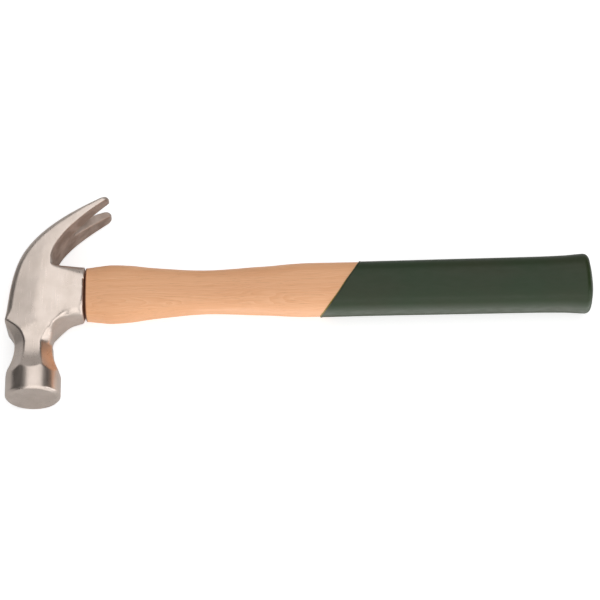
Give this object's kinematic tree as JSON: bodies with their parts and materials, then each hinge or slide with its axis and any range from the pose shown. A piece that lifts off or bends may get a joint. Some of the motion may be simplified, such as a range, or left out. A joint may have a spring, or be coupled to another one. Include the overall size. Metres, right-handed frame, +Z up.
{
  "type": "claw hammer",
  "caption": "Curved-claw hammer: forged steel head with a round striking face and split claw, on a wedged hickory handle with a dipped grip.",
  "frame": {"origin": "middle of the hammer's box, on the plane that it lies on", "axes": "+X along the handle towards its butt, +Y from the striking face to the claw, +Z up with the head's symmetry plane level"},
  "size_m": [0.3338, 0.1218, 0.031],
  "materials": {
    "forged_steel": "satin ground",
    "hickory": "clear lacquer",
    "grip_enamel": "semi-gloss dip",
    "wedge_wood": "raw end grain",
    "wedge_steel": "mill scale, ground flush"
  },
  "bodies": {
    "root": {"head": "forged_steel", "handle": "hickory", "grip_coating": "grip_enamel", "wood_wedge": "wedge_wood", "steel_wedges": "wedge_steel"}
  },
  "joints": []
}
